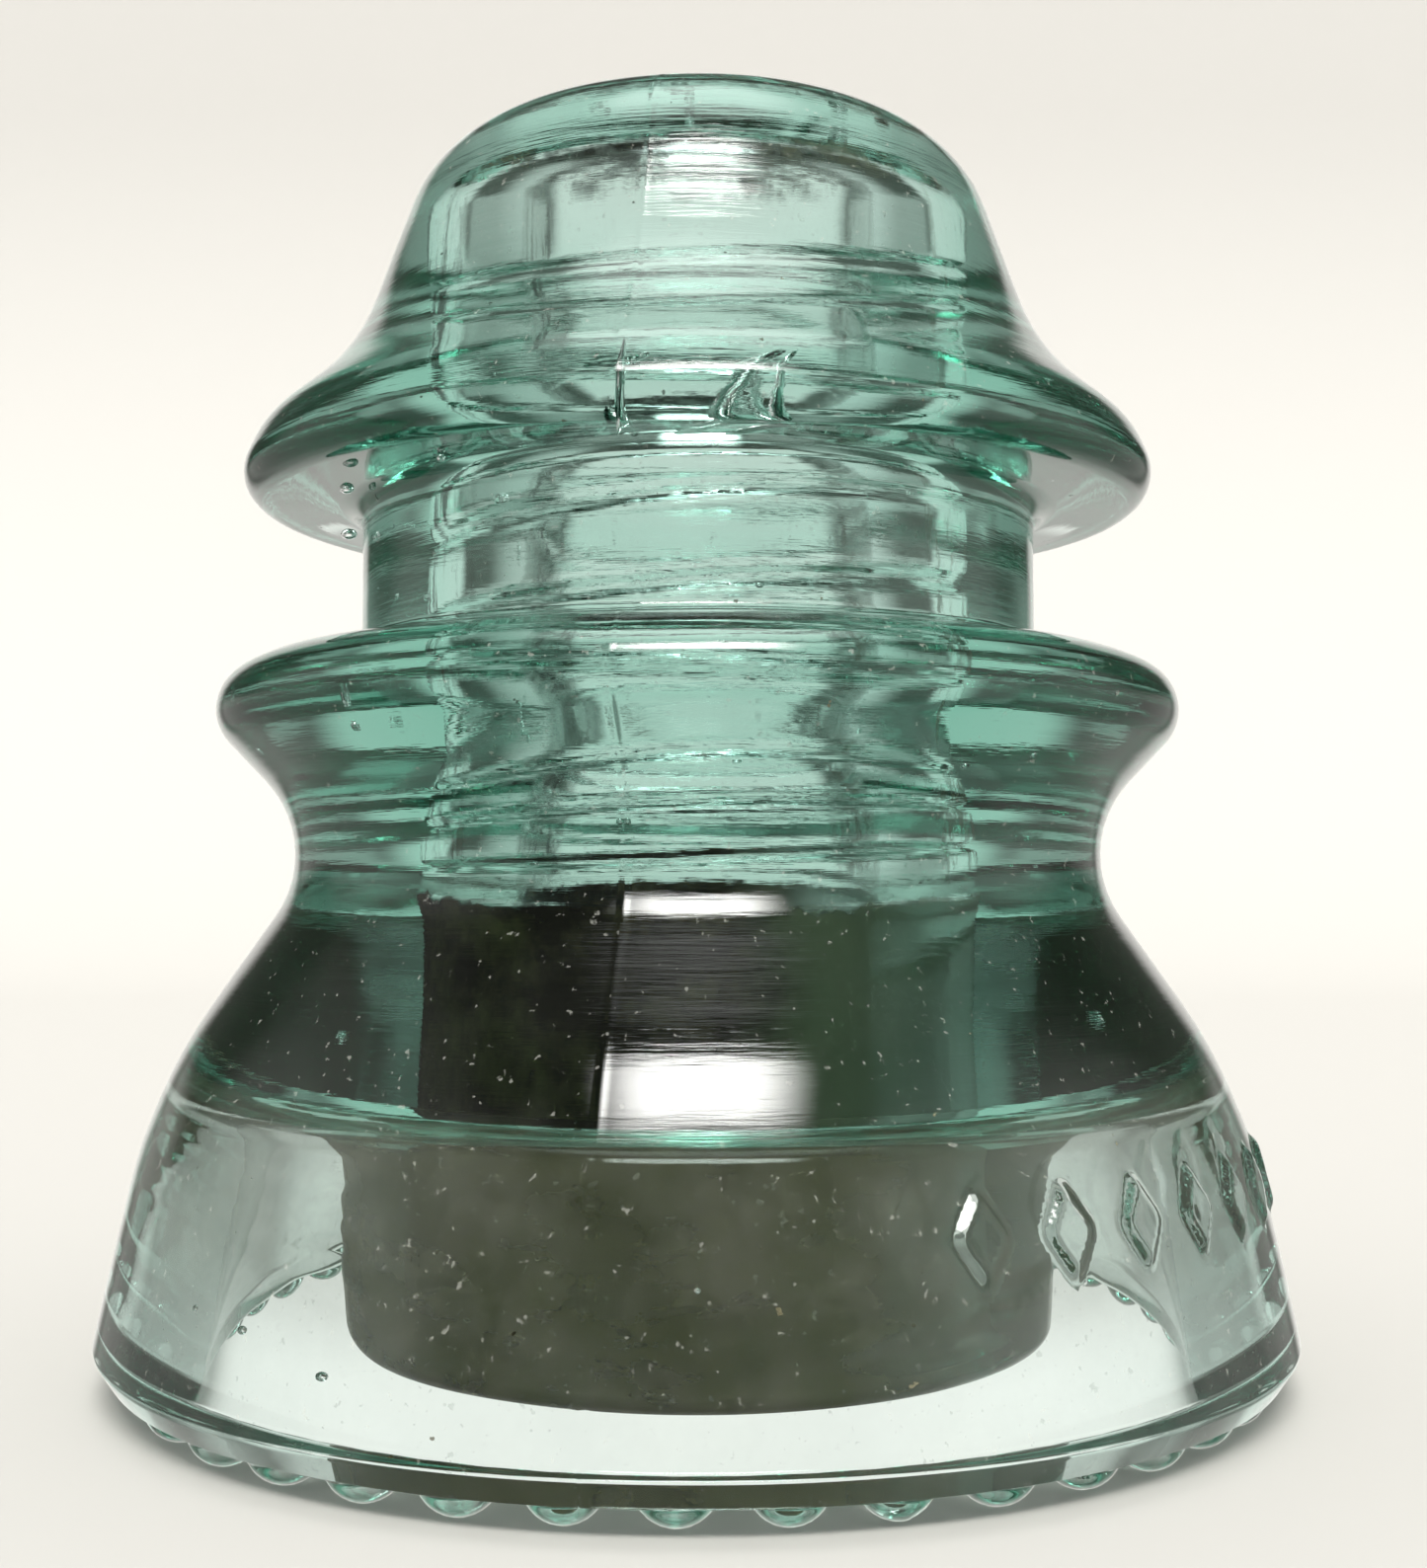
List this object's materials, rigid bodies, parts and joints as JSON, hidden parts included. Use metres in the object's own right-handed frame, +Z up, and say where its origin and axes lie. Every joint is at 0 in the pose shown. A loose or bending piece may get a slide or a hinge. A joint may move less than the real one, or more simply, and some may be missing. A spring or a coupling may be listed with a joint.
{
  "type": "pin insulator",
  "caption": "Pressed glass pin insulator with a domed crown, a wire groove between a flange and a ridge, a flared skirt on drip points, an inner petticoat, and a threaded pinhole.",
  "frame": {"origin": "on the axis, in the plane of the drip tips that the insulator stands on", "axes": "+Z up the axis towards the crown; -Y is the front, close to the mould seam; the raised lozenges start 23 degrees from it, towards +X"},
  "size_m": [0.0858, 0.0858, 0.0938],
  "materials": {
    "aqua_glass": "fire-polished, slightly dusty"
  },
  "bodies": {
    "root": {"glass_body": "aqua_glass"}
  },
  "joints": []
}
